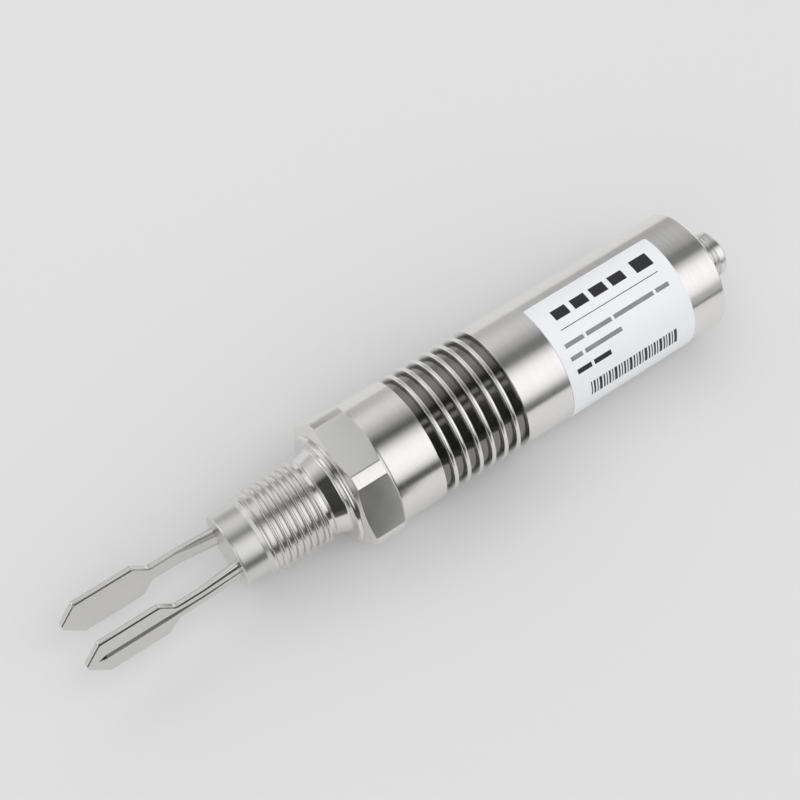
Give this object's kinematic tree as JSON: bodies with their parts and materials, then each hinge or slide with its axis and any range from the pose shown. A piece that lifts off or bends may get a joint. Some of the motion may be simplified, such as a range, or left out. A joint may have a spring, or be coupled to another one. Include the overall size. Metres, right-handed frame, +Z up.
{
  "type": "tuning fork level switch",
  "caption": "Vibrating fork level switch with a threaded process fitting, hexagon, round finned steel housing, wrapped blank label and a round threaded plug socket.",
  "frame": {"origin": "on the axis of the switch, at the seal face of the process fitting", "axes": "+X along the axis from the fork towards the plug socket, +Z up, square to one flat of the hexagon, so the switch lies on the opposite flat"},
  "size_m": [0.1827, 0.0352, 0.032],
  "materials": {
    "fork_steel": "fine satin, milled stainless steel",
    "fitting_steel": "turned stainless steel with milled flats",
    "housing_steel": "finely turned, bright stainless steel",
    "socket_metal": "nickel-plated, bright",
    "seal_rubber": "matt black rubber",
    "insert_plastic": "moulded black plastic",
    "contact_metal": "gold-plated pins",
    "label_film": "white satin film",
    "insulator_ceramic": "fired, unglazed",
    "piezo_ceramic": "fired, ground faces",
    "electrode_brass": "rolled foil",
    "sleeve_plastic": "plain insulating tube",
    "stack_steel": "plain machined steel",
    "lead_red": "wire insulation",
    "carrier_plastic": "moulded",
    "board_green": "solder-masked laminate",
    "chip_black": "moulded",
    "can_aluminium": "drawn can",
    "relay_plastic": "moulded",
    "lead_blue": "wire insulation"
  },
  "bodies": {
    "root": {"tuning_fork": "fork_steel", "process_fitting": "fitting_steel", "fitting_seal": "seal_rubber", "finned_housing": "housing_steel", "end_cap": "housing_steel", "cap_seal": "seal_rubber", "socket_shell": "socket_metal", "socket_seal": "seal_rubber", "socket_nut": "socket_metal", "socket_insert": "insert_plastic", "contact_pins": "contact_metal", "label": "label_film", "insulator_discs": "insulator_ceramic", "piezo_rings": "piezo_ceramic", "electrodes": "electrode_brass", "stud_sleeve": "sleeve_plastic", "thrust_washer": "stack_steel", "spring_washer": "stack_steel", "stack_nut": "stack_steel", "piezo_leads": "lead_red", "board_carrier": "carrier_plastic", "circuit_board": "board_green", "control_chip": "chip_black", "capacitors": "can_aluminium", "relay": "relay_plastic", "socket_wires": "lead_blue"}
  },
  "joints": []
}
